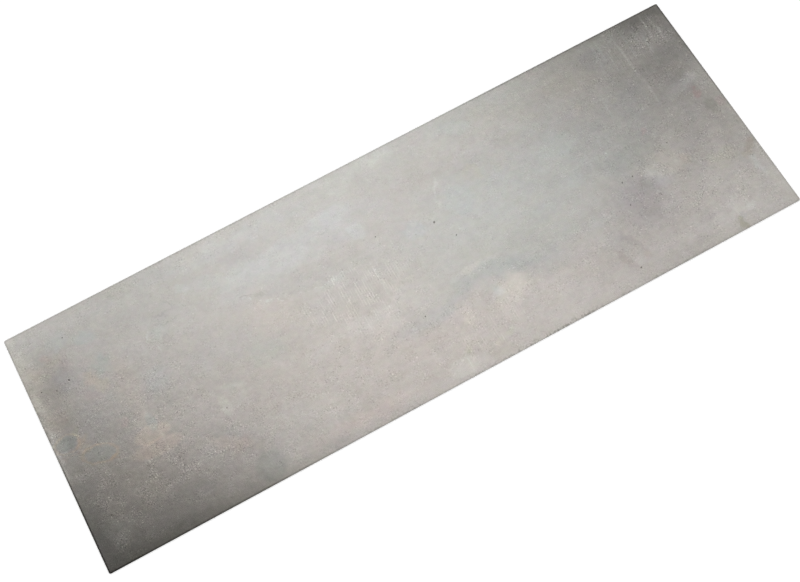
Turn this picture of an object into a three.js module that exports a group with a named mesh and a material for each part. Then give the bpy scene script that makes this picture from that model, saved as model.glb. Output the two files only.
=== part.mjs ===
// One flat rectangular sheet of mild steel, as cut on a guillotine and sold as stock.
// Millimetres, +Z up. X runs along the sheet, Y across it, and the origin is on the floor
// under the middle of the sheet.
import * as THREE from 'three';

// The sheet
const SHEET_LENGTH = 914.4; // 36 in
const SHEET_WIDTH = 304.8; // 12 in
const SHEET_THICKNESS = 1.52; // 16 gauge
const CORNER_RADIUS = 2; // sharp corners eased with a file

// The sheared edge, from the top face down. The upper blade first drags the skin over, then cuts
// a smooth upright land. Below that the steel tears and the edge slopes in, and the burr that is
// left under it is filed off.
const ROLLOVER_WIDTH = 0.3;
const ROLLOVER_DEPTH = 0.15;
const LAND_HEIGHT = 0.5;
const TEAR_SET_BACK = 0.09;
const BURR_CHAMFER = 0.12;

// Facets on the round stretches
const ROLLOVER_FACETS = 6;
const CORNER_FACETS = 8;

const MILL_STEEL = new THREE.MeshStandardMaterial({
  name: 'mill_finish_steel',
  color: '#b2aea9',
  metalness: 0.9,
  roughness: 0.45,
  flatShading: true,
});

// The edge in section, from the top face to the underside. Each point's x is how far it lies in
// from the widest outline, and its y is its height.
function shearedEdge() {
  const landTop = SHEET_THICKNESS - ROLLOVER_DEPTH;
  const rollover = new THREE.EllipseCurve(
    ROLLOVER_WIDTH,
    landTop,
    ROLLOVER_WIDTH,
    ROLLOVER_DEPTH,
    Math.PI / 2,
    Math.PI,
  );
  return [
    ...rollover.getPoints(ROLLOVER_FACETS),
    new THREE.Vector2(0, landTop - LAND_HEIGHT),
    new THREE.Vector2(TEAR_SET_BACK, BURR_CHAMFER),
    new THREE.Vector2(TEAR_SET_BACK + BURR_CHAMFER, 0),
  ];
}

// The sheet in plan, anticlockwise, drawn in by an inset that leaves the corners' centres in place.
function planOutline(inset) {
  const centreX = SHEET_LENGTH / 2 - CORNER_RADIUS;
  const centreY = SHEET_WIDTH / 2 - CORNER_RADIUS;
  const corners = [
    [centreX, centreY],
    [-centreX, centreY],
    [-centreX, -centreY],
    [centreX, -centreY],
  ];
  return corners.flatMap(([x, y], quarter) => {
    const start = quarter * Math.PI / 2;
    const radius = CORNER_RADIUS - inset;
    const arc = new THREE.EllipseCurve(x, y, radius, radius, start, start + Math.PI / 2);
    return arc.getPoints(CORNER_FACETS);
  });
}

// A closed solid through one outline for each point of the section, with flat faces at both ends.
function loftDown(section) {
  const rings = section.map((point) => planOutline(point.x));
  const ringSize = rings[0].length;
  const positions = rings.flatMap((ring, level) => ring.flatMap((p) => [p.x, p.y, section[level].y]));
  const faces = [];
  for (let level = 0; level + 1 < rings.length; level += 1) {
    for (let i = 0; i < ringSize; i += 1) {
      const next = (i + 1) % ringSize;
      const upper = level * ringSize;
      const lower = upper + ringSize;
      faces.push(upper + i, lower + i, lower + next);
      faces.push(upper + i, lower + next, upper + next);
    }
  }
  const underside = (rings.length - 1) * ringSize;
  for (const [a, b, c] of THREE.ShapeUtils.triangulateShape(rings[0], [])) {
    faces.push(a, b, c);
  }
  for (const [a, b, c] of THREE.ShapeUtils.triangulateShape(rings.at(-1), [])) {
    faces.push(underside + a, underside + c, underside + b);
  }
  const geometry = new THREE.BufferGeometry();
  geometry.setAttribute('position', new THREE.Float32BufferAttribute(positions, 3));
  geometry.setIndex(faces);
  return geometry;
}

const sheet = new THREE.Mesh(loftDown(shearedEdge()), MILL_STEEL);
sheet.name = 'steel_sheet';

const group = new THREE.Group();
group.add(sheet);

export default group;
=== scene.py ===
# A sheet of mill-finish steel, lying flat on the white floor of a studio.
import math

import bmesh
import bpy
from mathutils import Matrix, Vector


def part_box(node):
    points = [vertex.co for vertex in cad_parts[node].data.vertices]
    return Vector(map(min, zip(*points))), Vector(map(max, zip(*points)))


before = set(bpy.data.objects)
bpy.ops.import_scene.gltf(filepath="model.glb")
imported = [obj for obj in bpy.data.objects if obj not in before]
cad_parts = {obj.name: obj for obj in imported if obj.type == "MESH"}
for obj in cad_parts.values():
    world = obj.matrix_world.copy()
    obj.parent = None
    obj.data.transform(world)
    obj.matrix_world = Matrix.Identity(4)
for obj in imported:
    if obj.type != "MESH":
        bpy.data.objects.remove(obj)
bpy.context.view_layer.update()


# ---- Camera ----
# It stands over the near long edge, a little left of the sheet's middle and 1.2 m up, and looks
# down at it. The lens is shifted sideways so that the far end is in the frame too.
CAMERA_OVER_SHEET = Vector((-0.2145, -0.3053, 1.1831))
AIM_ON_SHEET = Vector((-0.1165, 0.0359, 0.0))
CAMERA_ROLL = math.radians(-12.39)
SENSOR_WIDTH = 36.0  # mm
FOCAL_LENGTH = 46.61  # mm
SIDE_SHIFT = 0.125  # of the sensor's width

sheet_low, sheet_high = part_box("steel_sheet")
camera_data = bpy.data.cameras.new("camera")
camera_data.sensor_width = SENSOR_WIDTH
camera_data.lens = FOCAL_LENGTH
camera_data.shift_x = SIDE_SHIFT
camera = bpy.data.objects.new("camera", camera_data)
look = (AIM_ON_SHEET - CAMERA_OVER_SHEET).to_track_quat("-Z", "Y").to_matrix()
camera.rotation_euler = (look @ Matrix.Rotation(CAMERA_ROLL, 3, "Z")).to_euler()
camera.location = CAMERA_OVER_SHEET + Vector((0.0, 0.0, sheet_high.z))
bpy.context.collection.objects.link(camera)
bpy.context.scene.camera = camera
bpy.context.scene.view_settings.view_transform = "Standard"


# ---- Studio ----
# White walls all round, and overhead one long soft light with a dim ceiling on either side of
# it. Steel mirrors what is above it, so the light's two soft edges are what shade the sheet.
LIGHT_HEADING = 48  # degrees from the sheet's length to the way that the light is crossed
LIGHT_MIDDLE = 18  # degrees off overhead
LIGHT_HALF_WIDTH = 12  # degrees
LIGHT_SOFT_EDGE = 4  # degrees, on either side of the light's outline
LIGHT_LEVEL = 1.39
CEILING_LEVEL = 0.1
WALL_LEVEL = 1.0
WALL_TOP = 0.5  # sine of the height above the horizon where the walls start to turn into ceiling
CEILING_START = 0.8  # the same where they have become ceiling
FLOOR_HALF_SIZE = 20  # metres
FLOOR_WHITE = 0.85
FLOOR_LIFT = 0.5


def node(tree, kind, inputs=None, out=0, **settings):
    """Adds a node with its settings, fills or links its inputs, and gives back one output."""
    made = tree.nodes.new(kind)
    for name, value in settings.items():
        setattr(made, name, value)
    for key, value in (inputs or {}).items():
        if isinstance(value, bpy.types.NodeSocket):
            tree.links.new(value, made.inputs[key])
        else:
            made.inputs[key].default_value = value
    return made if out is None else made.outputs[out]


studio = bpy.data.worlds.new("studio")
studio.use_nodes = True
bpy.context.scene.world = studio
tree = studio.node_tree
heading = math.radians(LIGHT_HEADING)
way = node(tree, "ShaderNodeTexCoord", out="Generated")
height = node(tree, "ShaderNodeSeparateXYZ", {0: way}, out="Z")
across = node(
    tree,
    "ShaderNodeVectorMath",
    {0: way, 1: (math.cos(heading), math.sin(heading), 0)},
    out="Value",
    operation="DOT_PRODUCT",
)
lean = node(tree, "ShaderNodeMath", {0: across, 1: height}, operation="ARCTAN2")
off_middle = node(tree, "ShaderNodeMath", {0: lean, 1: math.radians(LIGHT_MIDDLE)}, operation="SUBTRACT")
off_middle = node(tree, "ShaderNodeMath", {0: off_middle}, operation="ABSOLUTE")
overhead = node(
    tree,
    "ShaderNodeMapRange",
    {
        "Value": off_middle,
        "From Min": math.radians(LIGHT_HALF_WIDTH - LIGHT_SOFT_EDGE),
        "From Max": math.radians(LIGHT_HALF_WIDTH + LIGHT_SOFT_EDGE),
        "To Min": LIGHT_LEVEL,
        "To Max": CEILING_LEVEL,
    },
    interpolation_type="SMOOTHSTEP",
)
ceiling = node(
    tree,
    "ShaderNodeMapRange",
    {"Value": height, "From Min": WALL_TOP, "From Max": CEILING_START},
    interpolation_type="SMOOTHSTEP",
)
level = node(tree, "ShaderNodeMix", {0: ceiling, 2: WALL_LEVEL, 3: overhead}, data_type="FLOAT")
tree.links.new(level, tree.nodes["Background"].inputs["Strength"])
tree.nodes["Background"].inputs["Color"].default_value = (1, 1, 1, 1)

floor_mesh = bpy.data.meshes.new("floor")
bm = bmesh.new()
bmesh.ops.create_grid(bm, x_segments=1, y_segments=1, size=FLOOR_HALF_SIZE)
bm.to_mesh(floor_mesh)
bm.free()
floor = bpy.data.objects.new("floor", floor_mesh)
bpy.context.collection.objects.link(floor)

# Matt white floor. What the camera sees of it is lifted to white, and it keeps its shadows.
white_floor = bpy.data.materials.new("white_floor")
white_floor.use_nodes = True
tree = white_floor.node_tree
paint = tree.nodes["Principled BSDF"]
paint.inputs["Base Color"].default_value = (FLOOR_WHITE, FLOOR_WHITE, FLOOR_WHITE, 1)
paint.inputs["Roughness"].default_value = 1.0
paint.inputs["Specular IOR Level"].default_value = 0.0
paint.inputs["Emission Color"].default_value = (1, 1, 1, 1)
seen = node(tree, "ShaderNodeLightPath", out="Is Camera Ray")
mirrored = node(tree, "ShaderNodeLightPath", out="Is Glossy Ray")
through = node(tree, "ShaderNodeLightPath", out="Is Transmission Ray")
lift = node(tree, "ShaderNodeMath", {0: seen, 1: mirrored}, operation="MAXIMUM")
lift = node(tree, "ShaderNodeMath", {0: lift, 1: through}, operation="MAXIMUM")
lift = node(tree, "ShaderNodeMath", {0: lift, 1: FLOOR_LIFT}, operation="MULTIPLY")
tree.links.new(lift, paint.inputs["Emission Strength"])
floor_mesh.materials.append(white_floor)


# ---- Steel sheet ----
# One cut length of mild steel sheet with its mill finish: rolled, lightly oiled and not ground
# or painted. It stays as the mill and the store left it, with oil and water stains, faint rust
# and the scuffs of other sheets dragged across it.
PLAIN_STEEL = "#B6B2AE"
MM = 1000  # millimetres in a metre
sheet = bpy.data.objects["steel_sheet"]


def linear(colour):
    """The linear red, green, blue and alpha of an sRGB hex colour."""
    parts = [int(colour[i : i + 2], 16) / 255 for i in (1, 3, 5)]
    return [p / 12.92 if p <= 0.04045 else ((p + 0.055) / 1.055) ** 2.4 for p in parts] + [1.0]


# Mill finish: bare metal dulled by the rolls, so it mirrors only soft light and dark. Its grain
# of pits and specks is finer than a millimetre, and is drawn at 1.5 to 3 mm so that it shows.
steel = bpy.data.materials.new("mill_finish_steel")
steel.use_nodes = True
tree = steel.node_tree

# Places on the sheet are in millimetres: from its middle along X and Y, and up from the floor
where = node(tree, "ShaderNodeTexCoord", out="Object")
place = node(tree, "ShaderNodeVectorMath", {0: where, 1: (MM, MM, MM)}, operation="MULTIPLY")
flat_place = node(tree, "ShaderNodeVectorMath", {0: place, 1: (1, 1, 0)}, operation="MULTIPLY")


def cloud(length, width=0.0, turn=0.0, detail=3.0, roughness=0.5, start=0.0, out="Fac"):
    """Random mottling from 0 to 1. Its spots have a length and width in mm, or are round."""
    spread = node(
        tree,
        "ShaderNodeMapping",
        {
            "Vector": flat_place,
            "Location": (start, start, 0),
            "Rotation": (0, 0, math.radians(turn)),
            "Scale": (length, width or length, 1),
        },
        vector_type="TEXTURE",
    )
    pattern = {"Vector": spread, "Scale": 1.0, "Detail": detail, "Roughness": roughness}
    return node(tree, "ShaderNodeTexNoise", pattern, out=out, noise_dimensions="2D")


def astray(size, reach):
    """The places with a random shift of up to half the reach in mm, over spots of a size."""
    shift = cloud(size, detail=4.0, roughness=0.55, out="Color")
    shift = node(tree, "ShaderNodeVectorMath", {0: shift, 1: (0.5, 0.5, 0.5)}, operation="SUBTRACT")
    steps = {0: shift, 1: (reach, reach, 0), 2: flat_place}
    return node(tree, "ShaderNodeVectorMath", steps, operation="MULTIPLY_ADD")


# Broad tones and stains have wandering borders, so they are drawn on shifted places
wandering = astray(55, 60)
ragged = astray(14, 18)
crinkled = astray(9, 6)


def nearness(x, y, half_length, half_width, turn, on):
    """1 at an oval's middle at x, y in mm, falling evenly to 0 at its outline."""
    from_middle = node(
        tree,
        "ShaderNodeMapping",
        {
            "Vector": on,
            "Location": (x, y, 0),
            "Rotation": (0, 0, math.radians(turn)),
            "Scale": (half_length, half_width, 1),
        },
        vector_type="TEXTURE",
    )
    return node(tree, "ShaderNodeTexGradient", {0: from_middle}, out="Fac", gradient_type="SPHERICAL")


def oval(x, y, half_length, half_width, turn=0.0, fade=0.5, on=wandering, strength=1.0):
    """Its strength inside an oval, and falling to 0 over its soft edge."""
    # A smooth step keeps within its ends by itself. With a clamp too, each of the many masks
    # would be held in memory to the end, and the shader would run out of room and turn black.
    outer = 1 + fade
    near = nearness(x, y, half_length * outer, half_width * outer, turn, on)
    edge = {"Value": near, "From Min": 0.0, "From Max": 2 * fade / outer, "To Max": strength}
    return node(tree, "ShaderNodeMapRange", edge, interpolation_type="SMOOTHSTEP", clamp=False)


def rim(x, y, half_length, half_width, turn=0.0, line=2.0, on=ragged):
    """1 on an oval's outline, drawn as a soft line of a width in mm, and 0 off it."""
    near = nearness(x, y, half_length * 2, half_width * 2, turn, on)
    off = node(tree, "ShaderNodeMath", {0: near, 1: 0.5}, operation="SUBTRACT")
    off = node(tree, "ShaderNodeMath", {0: off}, operation="ABSOLUTE")
    across = line / (half_length + half_width)
    edge = {"Value": off, "From Min": 0.0, "From Max": across, "To Min": 1.0, "To Max": 0.0}
    return node(tree, "ShaderNodeMapRange", edge, interpolation_type="SMOOTHSTEP", clamp=False)


def stain_and_painted_light(under, mask, looks):
    """Tints a colour as far as the mask says. Its looks are what it makes of plain steel."""
    tint = [a / b for a, b in zip(linear(looks), linear(PLAIN_STEEL))]
    cover = {0: mask, 6: under, 7: tint}
    return node(tree, "ShaderNodeMix", cover, out=2, data_type="RGBA", blend_type="MULTIPLY")


colour = linear(PLAIN_STEEL)

# Broad changes of tone, the first of them painted shade: x, y, half length, half width, turn, fade,
# colour on plain steel
for x, y, half_length, half_width, turn, fade, looks in (
    # painted shade: the right third darker, standing in for the overhead light falling off there
    (425, 10, 190, 280, -8, 0.7, "#A5A19D"),
    (-400, -20, 80, 130, 0, 0.7, "#B7B3AF"),
    (20, 140, 330, 30, 0, 0.7, "#B9B7B3"),
    (290, 118, 110, 40, -6, 0.7, "#BBB8B3"),
    (-320, 125, 110, 36, 0, 0.6, "#B0ADA9"),
    (-190, -100, 260, 62, 2, 0.6, "#BCB6B1"),
    (120, -100, 190, 60, 0, 0.7, "#B1ACA8"),
    (140, -45, 80, 16, 0, 0.7, "#B3B0AC"),
    (-240, 84, 90, 20, 0, 0.6, "#B5B2AE"),
    (-90, 84, 100, 30, 3, 0.4, "#B8B6B4"),
    (-155, 28, 34, 26, -35, 0.6, "#B8B3AE"),
    (190, 10, 160, 70, 0, 0.7, "#B3B3B0"),
    (100, -85, 34, 18, 0, 0.6, "#BDB9B4"),
    (292, -66, 42, 36, -30, 0.6, "#AFABA9"),
    (410, -110, 70, 50, 0, 0.7, "#C0BCB8"),
    (90, -54, 60, 13, -4, 0.6, "#B1B0AD"),
    (10, -66, 48, 13, 0, 0.6, "#B1B0AE"),
    (-55, -38, 90, 11, 0, 0.6, "#BAB7B4"),
    (-200, -112, 60, 32, 0, 0.7, "#BDBAB6"),
    (170, -115, 55, 28, 0, 0.6, "#B8B4B0"),
    (-355, -35, 40, 40, 0, 0.8, "#BBB7B2"),
    (-435, 120, 26, 34, 0, 0.7, "#BBB8B4"),
    (-150, 131, 80, 9, 0, 0.7, "#B6B3B1"),
    (-162, 112, 34, 9, 0, 0.7, "#B3AFAC"),
    (-200, 94, 32, 9, 0, 0.6, "#B9B7B3"),
    (0, -25, 420, 26, 0, 0.8, "#B8B3AE"),
    (85, -35, 100, 34, 0, 0.8, "#B2AFAB"),
    (215, -105, 50, 24, 0, 0.7, "#B2AEAA"),
    (270, -146, 130, 12, 0, 0.8, "#B0ACA8"),
    (308, -8, 32, 17, 0, 0.7, "#AFADA9"),
    (158, -74, 34, 20, 0, 0.6, "#B0ADAA"),
    (5, 143, 42, 10, 0, 0.7, "#BAB7B3"),
    (298, 122, 36, 24, 0, 0.7, "#B5B0AB"),
    (350, 60, 20, 26, 0, 0.7, "#B2AFAC"),
):
    mask = oval(x, y, half_length, half_width, turn, fade)
    colour = stain_and_painted_light(colour, mask, looks)

# Smaller stains of oil, water and rust, with painted light along the edges, in the same order
for x, y, half_length, half_width, turn, fade, looks in (
    # along the edges: painted highlights along both ends
    (-457, 60, 16, 110, 0, 0.7, "#C7C3BD"),
    (-453, 60, 7, 11, 0, 0.6, "#C4C1BC"),
    (-455, -5, 4, 34, 0, 0.5, "#C8C5C1"),
    (460, -20, 18, 120, 0, 0.7, "#BEBBB6"),
    # painted shade: dark bands towards the lower-left and upper-right corners
    (-400, -156, 150, 20, 0, 0.9, "#918F88"),
    (-456, -98, 24, 42, 0, 0.8, "#A19F9B"),
    (450, 156, 120, 22, -4, 0.9, "#9B9893"),
    # left end
    (-405, -112, 60, 34, 0, 0.8, "#ABA8A4"),
    (-427, -112, 15, 14, 0, 0.6, "#C2BFBB"),
    (-330, -116, 36, 12, 0, 0.8, "#ADAAA6"),
    (-436, 70, 24, 44, 0, 0.7, "#AFAAA4"),
    (-437, 95, 10, 10, 0, 0.6, "#BEB8B2"),
    (-415, 101, 11, 8, 0, 0.5, "#B8B3AD"),
    (-400, 120, 14, 9, 0, 0.5, "#B5B4B1"),
    (-370, 110, 14, 8, -10, 0.5, "#B4B4B1"),
    (-438, 32, 14, 12, 0, 0.6, "#B7B1AB"),
    (-422, 109, 5, 5, 0, 0.6, "#B8AFAB"),
    (-404, 90, 7, 9, 0, 0.6, "#B3ACA9"),
    (-431, 86, 6, 5, 0, 0.6, "#B7B5AE"),
    (-414, 74, 11, 14, 0, 0.6, "#B2AFAE"),
    (-387, 61, 7, 8, 0, 0.5, "#BDB6AF"),
    (-376, 50, 7, 12, 35, 0.5, "#BBB5AC"),
    (-390, 42, 14, 7, -35, 0.6, "#B9B2AE"),
    (-364, 70, 10, 11, 0, 0.5, "#B1B2AE"),
    (-315, 22, 14, 14, 0, 0.6, "#B5B3B0"),
    (-347, 30, 14, 34, 6, 0.6, "#B9B3AD"),
    (-425, 12, 5, 7, 0, 0.6, "#B9B5AD"),
    (-423, -4, 6, 8, 0, 0.6, "#BCB2AA"),
    (-371, -4, 6, 5, 0, 0.6, "#BDB4B1"),
    (-388, -36, 12, 14, 0, 0.6, "#B8B4B1"),
    (-295, -90, 18, 14, 0, 0.6, "#B9B6B2"),
    (-450, 4, 6, 14, 0, 0.6, "#BFBBB8"),
    (150, -28, 36, 17, 0, 0.8, "#B4B0AC"),
    (150, 146, 130, 16, 0, 0.8, "#B8B5B1"),
    (-419, -63, 13, 10, 0, 0.8, "#B3AFAB"),
    (-396, -39, 5, 3, 0, 0.5, "#BBB3AA"),
    (-300, -50, 40, 30, 0, 0.8, "#BAB6B2"),
    (-317, 145, 24, 9, 0, 0.8, "#B2AEA9"),
    (-415, -25, 20, 24, 0, 0.8, "#BBB7B2"),
    (-264, -80, 30, 12, 0, 0.8, "#B9B6B2"),
    (-240, -38, 14, 12, 0, 0.8, "#B9B6B2"),
    (-400, -76, 60, 40, 0, 0.8, "#B7B2AC"),
    (-270, -86, 26, 8, -30, 0.6, "#B6AFAA"),
    (-258, -94, 10, 7, -20, 0.6, "#BAB4B0"),
    (-272, -71, 14, 7, -20, 0.6, "#AEABA8"),
    # middle
    (-255, 4, 7, 9, 0, 0.6, "#B9B6B2"),
    (-240, 108, 9, 5, 0, 0.5, "#BAB8B5"),
    (-288, 72, 12, 9, 10, 0.6, "#B5B4B0"),
    (-120, 84, 54, 16, 3, 0.4, "#B8B5B1"),
    (-42, 100, 30, 13, 0, 0.2, "#B8B5B2"),
    (-22, 70, 10, 10, 0, 0.25, "#B8B6B2"),
    (-140, 44, 32, 6, -18, 0.6, "#B2AFAB"),
    (-85, 42, 62, 12, -8, 0.6, "#B4B1AD"),
    (-162, 22, 26, 24, 0, 0.6, "#B9B4B0"),
    (-80, 27, 26, 4, 4, 0.6, "#B7B5B1"),
    (-185, -10, 22, 16, 0, 0.6, "#B3B2AD"),
    (-120, -134, 66, 8, 0, 0.6, "#BBB4B0"),
    (38, 37, 16, 12, -20, 0.25, "#B6B4B2"),
    (106, 44, 20, 18, 0, 0.25, "#B5B3B0"),
    (30, 45, 6, 4, 0, 0.6, "#B7B0AB"),
    (55, 140, 16, 8, 0, 0.5, "#B8B5B0"),
    (95, 140, 18, 10, 0, 0.6, "#B7B1AE"),
    (22, 119, 6, 3, -45, 0.6, "#B9B6B1"),
    (42, -88, 8, 11, 0, 0.6, "#BCB8B2"),
    (82, -38, 24, 4, 4, 0.5, "#BEB9B5"),
    (50, -40, 8, 5, 0, 0.6, "#B9B6B2"),
    (88, -79, 8, 7, 0, 0.5, "#BAB9B7"),
    (106, -88, 22, 12, -6, 0.6, "#B9B5B0"),
    (24, -122, 4, 4, 0, 0.6, "#B3B2A9"),
    (60, -130, 5, 3, 0, 0.6, "#BAB7AF"),
    (75, -127, 4, 4, 0, 0.6, "#B8B6AE"),
    (60, -141, 24, 7, 0, 0.6, "#B1ADA8"),
    # right end
    (150, 130, 20, 9, -20, 0.3, "#B7B5B1"),
    (138, 66, 12, 12, 0, 0.25, "#B7B2AC"),
    (174, 66, 10, 12, 0, 0.3, "#B9B4AF"),
    (190, 130, 24, 15, 0, 0.25, "#B8B3AE"),
    (280, 76, 20, 13, 0, 0.3, "#B6B1AE"),
    (292, 76, 5, 9, -30, 0.6, "#BAB5AF"),
    (240, -92, 14, 15, 0, 0.6, "#B1AEAB"),
    (186, -18, 22, 12, 0, 0.5, "#B3B0AD"),
    (246, 48, 26, 16, 0, 0.5, "#BAB8B4"),
    (243, 0, 12, 9, 0, 0.5, "#B6B4B0"),
    (226, 84, 14, 10, 0, 0.6, "#B6B4B0"),
    (205, -55, 14, 11, 0, 0.6, "#B6B3AF"),
    (235, -62, 15, 8, 0, 0.6, "#B5B3AF"),
    (215, 141, 22, 8, 0, 0.7, "#B7B3AF"),
    (222, 146, 10, 4, 0, 0.6, "#B9B3AF"),
    (272, 143, 14, 5, 0, 0.6, "#B8B2AF"),
    (343, 124, 22, 14, 0, 0.3, "#B0ACAA"),
    (347, 12, 4, 6, 0, 0.5, "#BBB1AE"),
    (338, 65, 5, 5, 0, 0.5, "#BBB8B0"),
    (300, -56, 22, 28, -10, 0.3, "#B3AEAB"),
    (311, -50, 9, 9, 0, 0.4, "#B3B1AB"),
    (346, -35, 24, 17, -20, 0.4, "#BCB7B1"),
    (328, -44, 10, 14, 10, 0.8, "#BDBAB8"),
    (371, -43, 6, 8, 0, 0.5, "#B9B3AD"),
    (392, -27, 32, 8, 51, 0.6, "#B4B0AD"),
    (410, -62, 16, 12, 0, 0.6, "#B9B6AE"),
    (438, 0, 7, 11, 25, 0.4, "#AAA7A2"),
    (449, 1, 4, 6, 0, 0.6, "#B9B0AD"),
    (431, 25, 8, 5, 0, 0.4, "#B9ABA9"),
    (447, -63, 10, 6, 35, 0.5, "#ACA59F"),
    (437, -73, 7, 4, 10, 0.5, "#B2ADA6"),
    (424, 74, 42, 22, -3, 0.6, "#B2AEAA"),
    (424, 55, 28, 5, 23, 0.7, "#B1AEAA"),
    (434, 44, 13, 6, 23, 0.6, "#BDBAB6"),
    (446, 48, 12, 24, 0, 0.8, "#C0BCB8"),
    (380, 38, 24, 16, 0, 0.7, "#B2AEAA"),
    (420, 42, 24, 7, 15, 0.6, "#BBB8B5"),
    (420, -26, 12, 24, 0, 0.7, "#BCB8B4"),
    (367, -12, 12, 10, 0, 0.7, "#BBB7B3"),
    (366, 143, 26, 8, 0, 0.7, "#C0BDB8"),
    (391, -121, 12, 14, 0, 0.3, "#BCB8B4"),
    (404, -131, 9, 6, 0, 0.4, "#BCBAB6"),
    (442, -92, 4, 14, 0, 0.6, "#BBB9B6"),
    (382, -144, 4, 7, 8, 0.5, "#A6A399"),
    (388, -139, 4, 6, 0, 0.4, "#B1AFAC"),
    (348, -115, 10, 9, 0, 0.7, "#AFABA8"),
    (257, -99, 5, 16, 25, 0.3, "#AFABA8"),
    (264, -122, 4, 9, 5, 0.5, "#B2ACA7"),
    (238, -117, 5, 17, 15, 0.4, "#AEA9A5"),
):
    mask = oval(x, y, half_length, half_width, turn, fade, on=ragged)
    colour = stain_and_painted_light(colour, mask, looks)

# Stains that keep a clear outline, in the same order
for x, y, half_length, half_width, turn, fade, looks in (
    (-348, -50, 31, 10, -3, 0.2, "#C0B8B2"),
    (-347, -33, 23, 10, 0, 0.2, "#C3BBB4"),
    (-347, -16, 15, 10, 0, 0.3, "#BEB9B4"),
    (-345, 1, 9, 10, 0, 0.5, "#BAB5B1"),
    (-342, -20, 6, 12, 0, 0.3, "#B0B1AE"),
    (-410, -25, 19, 9, -15, 0.2, "#B3B2AF"),
    (-440, 3, 12, 8, 0, 0.2, "#ABABA7"),
    (-257, -45, 7, 13, 8, 0.35, "#BEBCB6"),
    (-242, -131, 18, 18, 0, 0.2, "#ACABA7"),
    (8, -137, 20, 11, 0, 0.15, "#BDBAB5"),
    (430, 86, 44, 13, 6, 0.3, "#B2AFAB"),
):
    mask = oval(x, y, half_length, half_width, turn, fade, on=crinkled)
    colour = stain_and_painted_light(colour, mask, looks)

# Short lines left where a stain dried: x, y, half length, half width, turn, colour
for x, y, half_length, half_width, turn, looks in (
    (-436, -14, 22, 1.5, -4, "#BCB5AF"),
    (-406, -17, 14, 1.5, -22, "#BCB6AF"),
    (-446, -61, 8, 1.5, 40, "#BDBAB6"),
    (-380, -59, 26, 1.3, -7, "#BBB7B3"),
    (-282, 80, 10, 1.2, -25, "#ACA9A5"),
    (-268, 78, 8, 1.2, 12, "#ACA9A5"),
    (-278, 91, 12, 1.2, -3, "#AEABA7"),
    (-262, 97, 1.2, 7, 0, "#AEABA7"),
    (-303, 72, 1.2, 6, -8, "#BDBBB7"),
    (-297, 55, 1.2, 6, 5, "#BDBBB7"),
    (-240, -27, 15, 4.0, -14, "#BAB8B3"),
    (-176, 62, 7, 1.0, -12, "#AAA7A3"),
    (-160, 56, 9, 1.0, -28, "#ADAAA6"),
    (-170, 94, 9, 1.0, 8, "#AFACA8"),
    (-68, 86, 14, 1.0, 6, "#B0ADA9"),
    (89, 74, 1.4, 13, -22, "#BEBBB7"),
    (82, 52, 2.5, 7, -10, "#BDBAB5"),
    (288, 6, 5, 1.2, 50, "#BBB9B5"),
    (294, 22, 1.2, 8, 10, "#BBB9B5"),
    (325, 58, 1.5, 14, -8, "#BAB8B4"),
    (300, 84, 1.0, 8, 70, "#B1AEAA"),
):
    mask = oval(x, y, half_length, half_width, turn, 0.8, on=ragged)
    colour = stain_and_painted_light(colour, mask, looks)

# Rings left where a drop dried: x, y, half length, half width, width of the line in mm, colour
for x, y, half_length, half_width, line, looks in (
    (-281, 57, 5, 6, 2.0, "#B1AEAA"),
    (-257, 55, 6, 6, 2.0, "#B1AEAA"),
    (365, 41, 4, 4, 2.0, "#BAB9B3"),
):
    mask = rim(x, y, half_length, half_width, 0, line)
    colour = stain_and_painted_light(colour, mask, looks)

# Rings round stains with a clear outline, in the same order and with the turn before the line
for x, y, half_length, half_width, turn, line, looks in (
    (-410, -25, 21, 11, -15, 3.0, "#BFB6AD"),
    (-440, 3, 15, 11, 0, 2.5, "#BDB6AD"),
):
    mask = rim(x, y, half_length, half_width, turn, line, on=crinkled)
    colour = stain_and_painted_light(colour, mask, looks)

# A wider stain dried back from a broken tide line
tide = rim(-88, 96, 112, 66, 0, 2.2)
tide_part = oval(-120, 40, 75, 26, -14, 0.3, strength=0.8)
gaps = cloud(6, detail=1.0)
gaps = node(tree, "ShaderNodeMapRange", {"Value": gaps, "From Min": 0.46, "From Max": 0.6})
tide = node(tree, "ShaderNodeMath", {0: tide, 1: tide_part}, operation="MULTIPLY")
tide = node(tree, "ShaderNodeMath", {0: tide, 1: gaps}, operation="MULTIPLY")
colour = stain_and_painted_light(colour, tide, "#C2C2BE")

# Where the finish is rough and dirty, from 0.16 on the clean parts up to about 1:
# x, y, half length, half width, turn, fade, strength
grit = 0.16
for x, y, half_length, half_width, turn, fade, strength in (
    (-350, -86, 80, 26, 0, 0.7, 0.4),
    (-60, -92, 420, 42, 0, 0.6, 0.18),
    (-440, 0, 50, 130, 0, 0.7, 0.3),
    (-325, 0, 56, 62, 0, 0.6, 0.3),
    (-425, -140, 36, 16, 0, 0.7, 0.3),
    (-60, 0, 90, 50, 0, 0.5, 0.14),
    (390, -60, 110, 90, 0, 0.6, 0.18),
    (420, 110, 90, 60, 0, 0.6, 0.25),
    (425, 134, 46, 26, 0, 0.6, 0.5),
    (370, 30, 110, 110, 0, 0.6, 0.12),
    (-250, 142, 120, 14, 0, 0.6, 0.15),
):
    patch = oval(x, y, half_length, half_width, turn, fade, strength=strength)
    grit = node(tree, "ShaderNodeMath", {0: grit, 1: patch}, operation="ADD")

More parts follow.
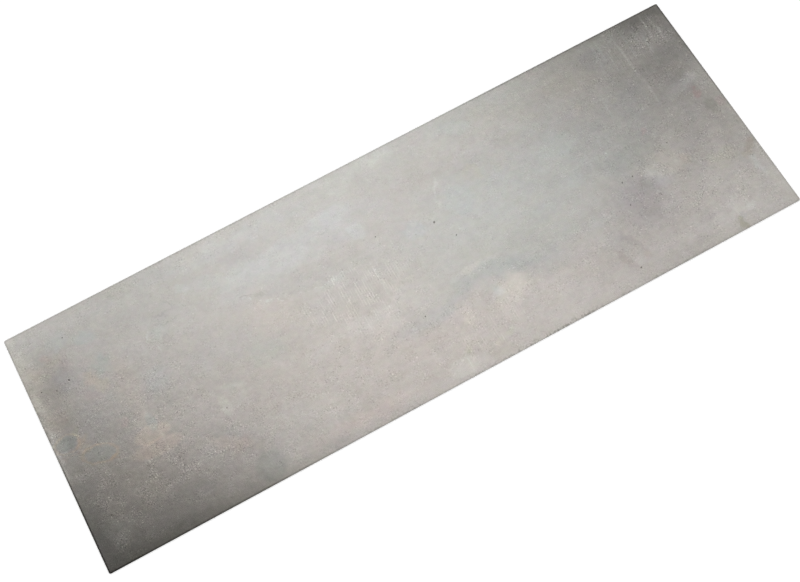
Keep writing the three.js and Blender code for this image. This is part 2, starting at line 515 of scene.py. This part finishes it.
# Mottling of the oil film, from broad to fine: size in mm, change of tone, and the same more
# strongly where the finish is rough
tone = 1.0
for size, change, on_grit in (
    (110, 0.05, 0.0),
    (45, 0.05, 0.1),
    (20, 0.05, 0.14),
    (9, 0.042, 0.2),
    (5, 0.035, 0.22),
):
    mottle = cloud(size, size * 0.8, detail=2.0, start=size)
    mottle = node(tree, "ShaderNodeMath", {0: mottle, 1: 0.5}, operation="SUBTRACT")
    much = {0: grit, 1: on_grit, 2: change}
    much = node(tree, "ShaderNodeMath", much, operation="MULTIPLY_ADD")
    tone = node(tree, "ShaderNodeMath", {0: mottle, 1: much, 2: tone}, operation="MULTIPLY_ADD")

# Patches with crisper borders, where the film dried: size in mm, random start, change of tone
for size, start, change in ((26, 61, 0.022), (11, 67, 0.019)):
    patch = cloud(size, size * 0.8, detail=2.0, start=start)
    patch = {"Value": patch, "From Min": 0.46, "From Max": 0.54, "To Min": -0.5, "To Max": 0.5}
    patch = node(tree, "ShaderNodeMapRange", patch)
    tone = node(tree, "ShaderNodeMath", {0: patch, 1: change, 2: tone}, operation="MULTIPLY_ADD")

# Fine lines along the sheet from the rolls, half a millimetre apart and drawn 2 mm apart
ROLL_LINE_CHANGE = 0.03
roll_line = cloud(240, 2.0, detail=2.0)
roll_line = node(tree, "ShaderNodeMath", {0: roll_line, 1: 0.5}, operation="SUBTRACT")
roll_line = {0: roll_line, 1: ROLL_LINE_CHANGE, 2: tone}
tone = node(tree, "ShaderNodeMath", roll_line, operation="MULTIPLY_ADD")

# Grain, in clusters. Its strongest spots are sharpened, so that they read as pits and points.
GRAIN_CHANGE = 0.8
SHARPEN = 5.0
EVEN_PART = 0.4
cluster = cloud(17, detail=2.0, start=19)
cluster = {"Value": cluster, "From Min": 0.4, "From Max": 0.62, "To Min": 0.2, "To Max": 1.9}
cluster = node(tree, "ShaderNodeMapRange", cluster)
clustered = node(tree, "ShaderNodeMath", {0: cluster, 1: grit}, operation="MULTIPLY")
grain = cloud(1.9, detail=2.0, roughness=0.7)
grain = node(tree, "ShaderNodeMath", {0: grain, 1: 0.5}, operation="SUBTRACT")
sharp = node(tree, "ShaderNodeMath", {0: grain}, operation="ABSOLUTE")
sharp = node(tree, "ShaderNodeMath", {0: sharp, 1: SHARPEN, 2: EVEN_PART}, operation="MULTIPLY_ADD")
grain = node(tree, "ShaderNodeMath", {0: grain, 1: sharp}, operation="MULTIPLY")
grain = node(tree, "ShaderNodeMath", {0: grain, 1: clustered}, operation="MULTIPLY")
tone = node(tree, "ShaderNodeMath", {0: grain, 1: GRAIN_CHANGE, 2: tone}, operation="MULTIPLY_ADD")
colour = node(tree, "ShaderNodeVectorMath", {0: colour, "Scale": tone}, operation="SCALE")

# The oil film is slightly warm or cool in wide spots, and pink or green in small ones: size in
# mm, fineness, random start, and the two tints that it goes between
for size, detail, start, one, other in (
    (30, 2.0, 7, "#FFFFFF", "#FFFFFD"),
    (10, 3.0, 53, "#FEFFFE", "#FFFDFF"),
    (8, 2.0, 59, "#FEFFFF", "#FFFFFE"),
):
    film = cloud(size, size * 0.8, detail=detail, start=start)
    film = node(tree, "ShaderNodeMapRange", {"Value": film, "From Min": 0.4, "From Max": 0.6})
    tints = {0: film, 6: linear(one), 7: linear(other)}
    tint = node(tree, "ShaderNodeMix", tints, out=2, data_type="RGBA")
    colour = node(tree, "ShaderNodeVectorMath", {0: colour, 1: tint}, operation="MULTIPLY")

# Specks, some everywhere and more in the grit: spacing and radius in mm, how many of them
# show where it is clean, colour on plain steel. Each is full colour in its core and fades to a
# little past its radius. Most are faint, because chance is raised to a power.
SPECK_CORE = 0.4  # of the radius
SPECK_REACH = 1.3  # of the radius
RARITY = 3.0
for spacing, radius, everywhere, looks in (
    (9, 0.8, 0.0, "#CCC8C3"),
    (8, 0.8, 0.0, "#989490"),
    (15, 1.0, 0.25, "#C9C5C0"),
    (13, 0.9, 0.25, "#9D9995"),
):
    spread = {"Vector": flat_place, "Scale": 1 / spacing}
    spot = node(tree, "ShaderNodeTexVoronoi", spread, out=None, voronoi_dimensions="2D").outputs
    edge = {
        "Value": spot["Distance"],
        "From Min": radius * SPECK_CORE / spacing,
        "From Max": radius * SPECK_REACH / spacing,
        "To Min": 1.0,
        "To Max": 0.0,
    }
    speck = node(tree, "ShaderNodeMapRange", edge, interpolation_type="SMOOTHSTEP")
    chance = node(tree, "ShaderNodeSeparateXYZ", {0: spot["Color"]}, out="X")
    chance = node(tree, "ShaderNodeMath", {0: chance, 1: RARITY}, operation="POWER")
    much = {0: chance, 1: everywhere, 2: clustered}
    much = node(tree, "ShaderNodeMath", much, operation="MULTIPLY_ADD")
    much = {0: speck, 1: much}
    speck = node(tree, "ShaderNodeMath", much, operation="MULTIPLY", use_clamp=True)
    colour = stain_and_painted_light(colour, speck, looks)

# Pits, 1 to 2 mm across: x, y, radius in mm
pits = 0.0
for x, y, radius in (
    (66, 34, 1.0),
    (-407, 71, 0.9),
    (-442, 73, 0.7),
    (-425, 66, 0.6),
    (-393, 122, 0.6),
    (81, 7, 0.6),
    (363, -14, 0.7),
    (288, -32, 0.6),
    (303, -31, 0.7),
    (249, -133, 0.8),
    (-5, 52, 0.5),
    (-2, -63, 0.55),
    (-257, -48, 0.6),
    (437, 101, 0.8),
    (358, 84, 0.6),
    (405, 127, 0.7),
    (281, -61, 0.6),
    (320, -67, 0.5),
):
    pit = oval(x, y, radius, radius, fade=0.8, on=flat_place)
    pits = node(tree, "ShaderNodeMath", {0: pits, 1: pit}, operation="ADD")
colour = stain_and_painted_light(colour, pits, "#807B75")

# Pale scuffs straight across the sheet and about 3 mm apart, where others were dragged over it
COMB_SCALE = 0.1  # the wave texture repeats every 2 pi / 20 / scale, here 3.1 mm
comb = {
    "Vector": flat_place,
    "Scale": COMB_SCALE,
    "Distortion": 2.0,
    "Detail": 2.0,
    "Detail Scale": 0.6,
}
comb = node(tree, "ShaderNodeTexWave", comb, out="Fac")
comb = node(tree, "ShaderNodeMapRange", {"Value": comb, "From Min": 0.45, "From Max": 1.0})
scuffs = cloud(2.4, 26, detail=1.0, start=3)
scuffs = node(tree, "ShaderNodeMapRange", {"Value": scuffs, "From Min": 0.3, "From Max": 0.65})
scuffs = node(tree, "ShaderNodeMath", {0: scuffs, 1: comb}, operation="MULTIPLY")
worn = cloud(8, 14, detail=2.0, start=11)
worn = node(tree, "ShaderNodeMapRange", {"Value": worn, "From Min": 0.38, "From Max": 0.6})
scuffs = node(tree, "ShaderNodeMath", {0: scuffs, 1: worn}, operation="MULTIPLY")


def patches(everywhere, fade, rows):
    """How strong something is, by patches: x, y, half length, half width in mm, strength."""
    total = everywhere
    for x, y, half_length, half_width, strength in rows:
        patch = oval(x, y, half_length, half_width, fade=fade, strength=strength)
        total = node(tree, "ShaderNodeMath", {0: total, 1: patch}, operation="ADD")
    return total


scuffed_places = (
    (-56, 2, 66, 27, 1.0),
    (-50, -34, 40, 14, 0.4),
    (398, 120, 56, 26, 0.5),
    (66, -112, 48, 17, 0.65),
)
scuffed = patches(0.0, 0.4, scuffed_places)
scuffs = node(tree, "ShaderNodeMath", {0: scuffs, 1: scuffed}, operation="MULTIPLY", use_clamp=True)
colour = stain_and_painted_light(colour, scuffs, "#C9C5C0")

# Single long scuffs, broken along their length: x, y, half width and half length in mm, colour
SCUFF_TURN = -1  # degrees
broken = cloud(5, detail=1.0, start=17)
broken = {"Value": broken, "From Min": 0.34, "From Max": 0.48, "To Min": 0.4}
broken = node(tree, "ShaderNodeMapRange", broken)
for x, y, half_width, half_length, looks in (
    (383, 101, 1.4, 19, "#C7C4C0"),
    (385, 55, 1.4, 18, "#C5C2BE"),
    (382, 125, 1.2, 12, "#BFBCB8"),
    (360, 128, 1.3, 17, "#BFBDB9"),
    (366, 109, 1.3, 16, "#BDBAB6"),
    (350, 116, 1.2, 12, "#BDBAB6"),
    (395, 120, 1.2, 22, "#B9B7B4"),
    (417, 112, 1.8, 12, "#BEBCB9"),
    (428, 134, 1.4, 15, "#CCC9C5"),
    (437, 136, 1.4, 10, "#CBC8C4"),
    (440, 118, 1.4, 12, "#CCC9C5"),
    (417, 138, 1.6, 9, "#ABA8A3"),
    (405, 132, 1.8, 8, "#AEABA6"),
    (393, 138, 1.6, 7, "#ABA8A3"),
    (371, 104, 1.4, 10, "#BCB9B5"),
    (353, 128, 1.2, 16, "#BAB8B4"),
    (408, 128, 1.2, 18, "#BBB9B5"),
    (-337, -56, 1.2, 16, "#C0BDB9"),
    (-26, 2, 1.2, 18, "#BDBAB6"),
    (16, -134, 1.0, 12, "#BBB9B5"),
):
    line = oval(x, y, half_width, half_length, SCUFF_TURN, fade=0.9, on=flat_place)
    line = node(tree, "ShaderNodeMath", {0: line, 1: broken}, operation="MULTIPLY")
    colour = stain_and_painted_light(colour, line, looks)

# Painted shade: the top face darkens to its sheared edges, over about 2 mm, most strongly by the
# lower-left and upper-right corners
EDGE_LINE_FULL = 1.0  # mm in from the edge
EDGE_LINE_END = 2.6  # mm in from the edge
half_long = sheet_high.x * MM
half_wide = sheet_high.y * MM
from_middle = node(tree, "ShaderNodeVectorMath", {0: place}, operation="ABSOLUTE")
inward = {0: (half_long, half_wide, 0), 1: from_middle}
inward = node(tree, "ShaderNodeVectorMath", inward, operation="SUBTRACT")
inward = node(tree, "ShaderNodeSeparateXYZ", {0: inward}, out=None).outputs
to_edge = node(tree, "ShaderNodeMath", {0: inward["X"], 1: inward["Y"]}, operation="MINIMUM")
edge = {
    "Value": to_edge,
    "From Min": EDGE_LINE_FULL,
    "From Max": EDGE_LINE_END,
    "To Min": 1.0,
    "To Max": 0.0,
}
edge_line = node(tree, "ShaderNodeMapRange", edge, interpolation_type="SMOOTHSTEP")
# How strong the painted edge shade is: x, y, half length, half width in mm, strength
shaded_edge_places = (
    (-457, -95, 50, 80, 0.8),
    (-330, -152, 130, 20, 0.5),
    (457, 90, 40, 90, 0.35),
    (330, 152, 140, 20, 0.25),
)
edge_shade = {0: edge_line, 1: patches(0.2, 0.6, shaded_edge_places)}
edge_line = node(tree, "ShaderNodeMath", edge_shade, operation="MULTIPLY", use_clamp=True)
colour = stain_and_painted_light(colour, edge_line, "#6C6964")

# Dirt caught along the edges, in broken spots
DIRT_FULL = 1.5  # mm in from the edge
DIRT_END = 7.0  # mm in from the edge
dirt = cloud(3.5, detail=3.0, start=71)
dirt = node(tree, "ShaderNodeMapRange", {"Value": dirt, "From Min": 0.46, "From Max": 0.6})
edge = {
    "Value": to_edge,
    "From Min": DIRT_FULL,
    "From Max": DIRT_END,
    "To Min": 1.0,
    "To Max": 0.0,
}
edge = node(tree, "ShaderNodeMapRange", edge)
dirt = node(tree, "ShaderNodeMath", {0: dirt, 1: edge}, operation="MULTIPLY")
dirty_places = (
    (100, -152, 90, 14, 0.8),
    (270, -152, 120, 12, 0.4),
    (-90, -152, 50, 12, 0.5),
    (-457, 10, 12, 70, 0.6),
    (-170, 152, 130, 12, 0.4),
    (250, 152, 80, 12, 0.4),
)
dirty = {0: dirt, 1: patches(0.0, 0.6, dirty_places)}
dirt = node(tree, "ShaderNodeMath", dirty, operation="MULTIPLY", use_clamp=True)
colour = stain_and_painted_light(colour, dirt, "#8F8C88")

# The sheared side, from the top down: a zone that the blade rubbed smooth, and under it the dark
# torn zone. Both have upright drag marks, which are drawn 1.5 mm apart so that they show.
ROLLOVER_DEPTH = 0.15  # mm
LAND_DEPTH = 0.5  # mm
UNDERSIDE_TOP = 0.05  # mm
up = node(tree, "ShaderNodeSeparateXYZ", {0: place}, out="Z")
thickness = sheet_high.z * MM
drag = cloud(1.5, detail=2.0, roughness=0.6, start=23)
land_top = thickness - ROLLOVER_DEPTH
for top, looks in ((land_top, "#8A8884"), (land_top - LAND_DEPTH, "#56534F")):
    below = node(tree, "ShaderNodeMath", {0: up, 1: top}, operation="LESS_THAN")
    metal = {0: drag, 6: linear("#2E2C29"), 7: linear(looks)}
    metal = node(tree, "ShaderNodeMix", metal, out=2, data_type="RGBA")
    colour = node(tree, "ShaderNodeMix", {0: below, 6: colour, 7: metal}, out=2, data_type="RGBA")

# The underside is the same finish, and it has only an even, fine mottling
underneath = node(tree, "ShaderNodeMath", {0: up, 1: UNDERSIDE_TOP}, operation="LESS_THAN")
under_tone = cloud(40, 30, detail=5.0, start=31)
plain = {0: under_tone, 6: linear("#A9A5A1"), 7: linear("#BCB8B3")}
plain = node(tree, "ShaderNodeMix", plain, out=2, data_type="RGBA")
cover = {0: underneath, 6: colour, 7: plain}
colour = node(tree, "ShaderNodeMix", cover, out=2, data_type="RGBA")

# Cleaner metal is glossier, and dirt and the torn side are duller
CLEAN_ROUGHNESS = 0.232
GRIT_ROUGHNESS = 0.015
SMEAR_ROUGHNESS = 0.03
TORN_ROUGHNESS = 0.25
torn = node(tree, "ShaderNodeMath", {0: below, 1: underneath}, operation="SUBTRACT")
dull = {0: clustered, 1: GRIT_ROUGHNESS, 2: CLEAN_ROUGHNESS}
dull = node(tree, "ShaderNodeMath", dull, operation="MULTIPLY_ADD")
smears = cloud(45, 30, detail=3.0, start=37)
dull = node(tree, "ShaderNodeMath", {0: smears, 1: SMEAR_ROUGHNESS, 2: dull}, operation="MULTIPLY_ADD")
dull = node(tree, "ShaderNodeMath", {0: torn, 1: TORN_ROUGHNESS, 2: dull}, operation="MULTIPLY_ADD")

# Relief of the top face, as heights in mm: slight waves from the rolls, orange peel, grain, pits
WAVE_HEIGHT = 0.35
PEEL_HEIGHT = 0.03
GRAIN_HEIGHT = 0.03
PIT_DEPTH = 0.15
waves = cloud(130, 90, detail=1.0, start=41)
peel = cloud(7, detail=1.0, start=43)
height = node(tree, "ShaderNodeMath", {0: waves, 1: WAVE_HEIGHT}, operation="MULTIPLY")
height = node(tree, "ShaderNodeMath", {0: peel, 1: PEEL_HEIGHT, 2: height}, operation="MULTIPLY_ADD")
height = node(tree, "ShaderNodeMath", {0: grain, 1: GRAIN_HEIGHT, 2: height}, operation="MULTIPLY_ADD")
height = node(tree, "ShaderNodeMath", {0: pits, 1: -PIT_DEPTH, 2: height}, operation="MULTIPLY_ADD")
bump = {"Height": height, "Strength": 1.0, "Distance": 1 / MM}

surface = tree.nodes["Principled BSDF"]
tree.links.new(colour, surface.inputs["Base Color"])
tree.links.new(dull, surface.inputs["Roughness"])
tree.links.new(node(tree, "ShaderNodeBump", bump), surface.inputs["Normal"])
surface.inputs["Metallic"].default_value = 1.0
sheet.material_slots[0].material = steel
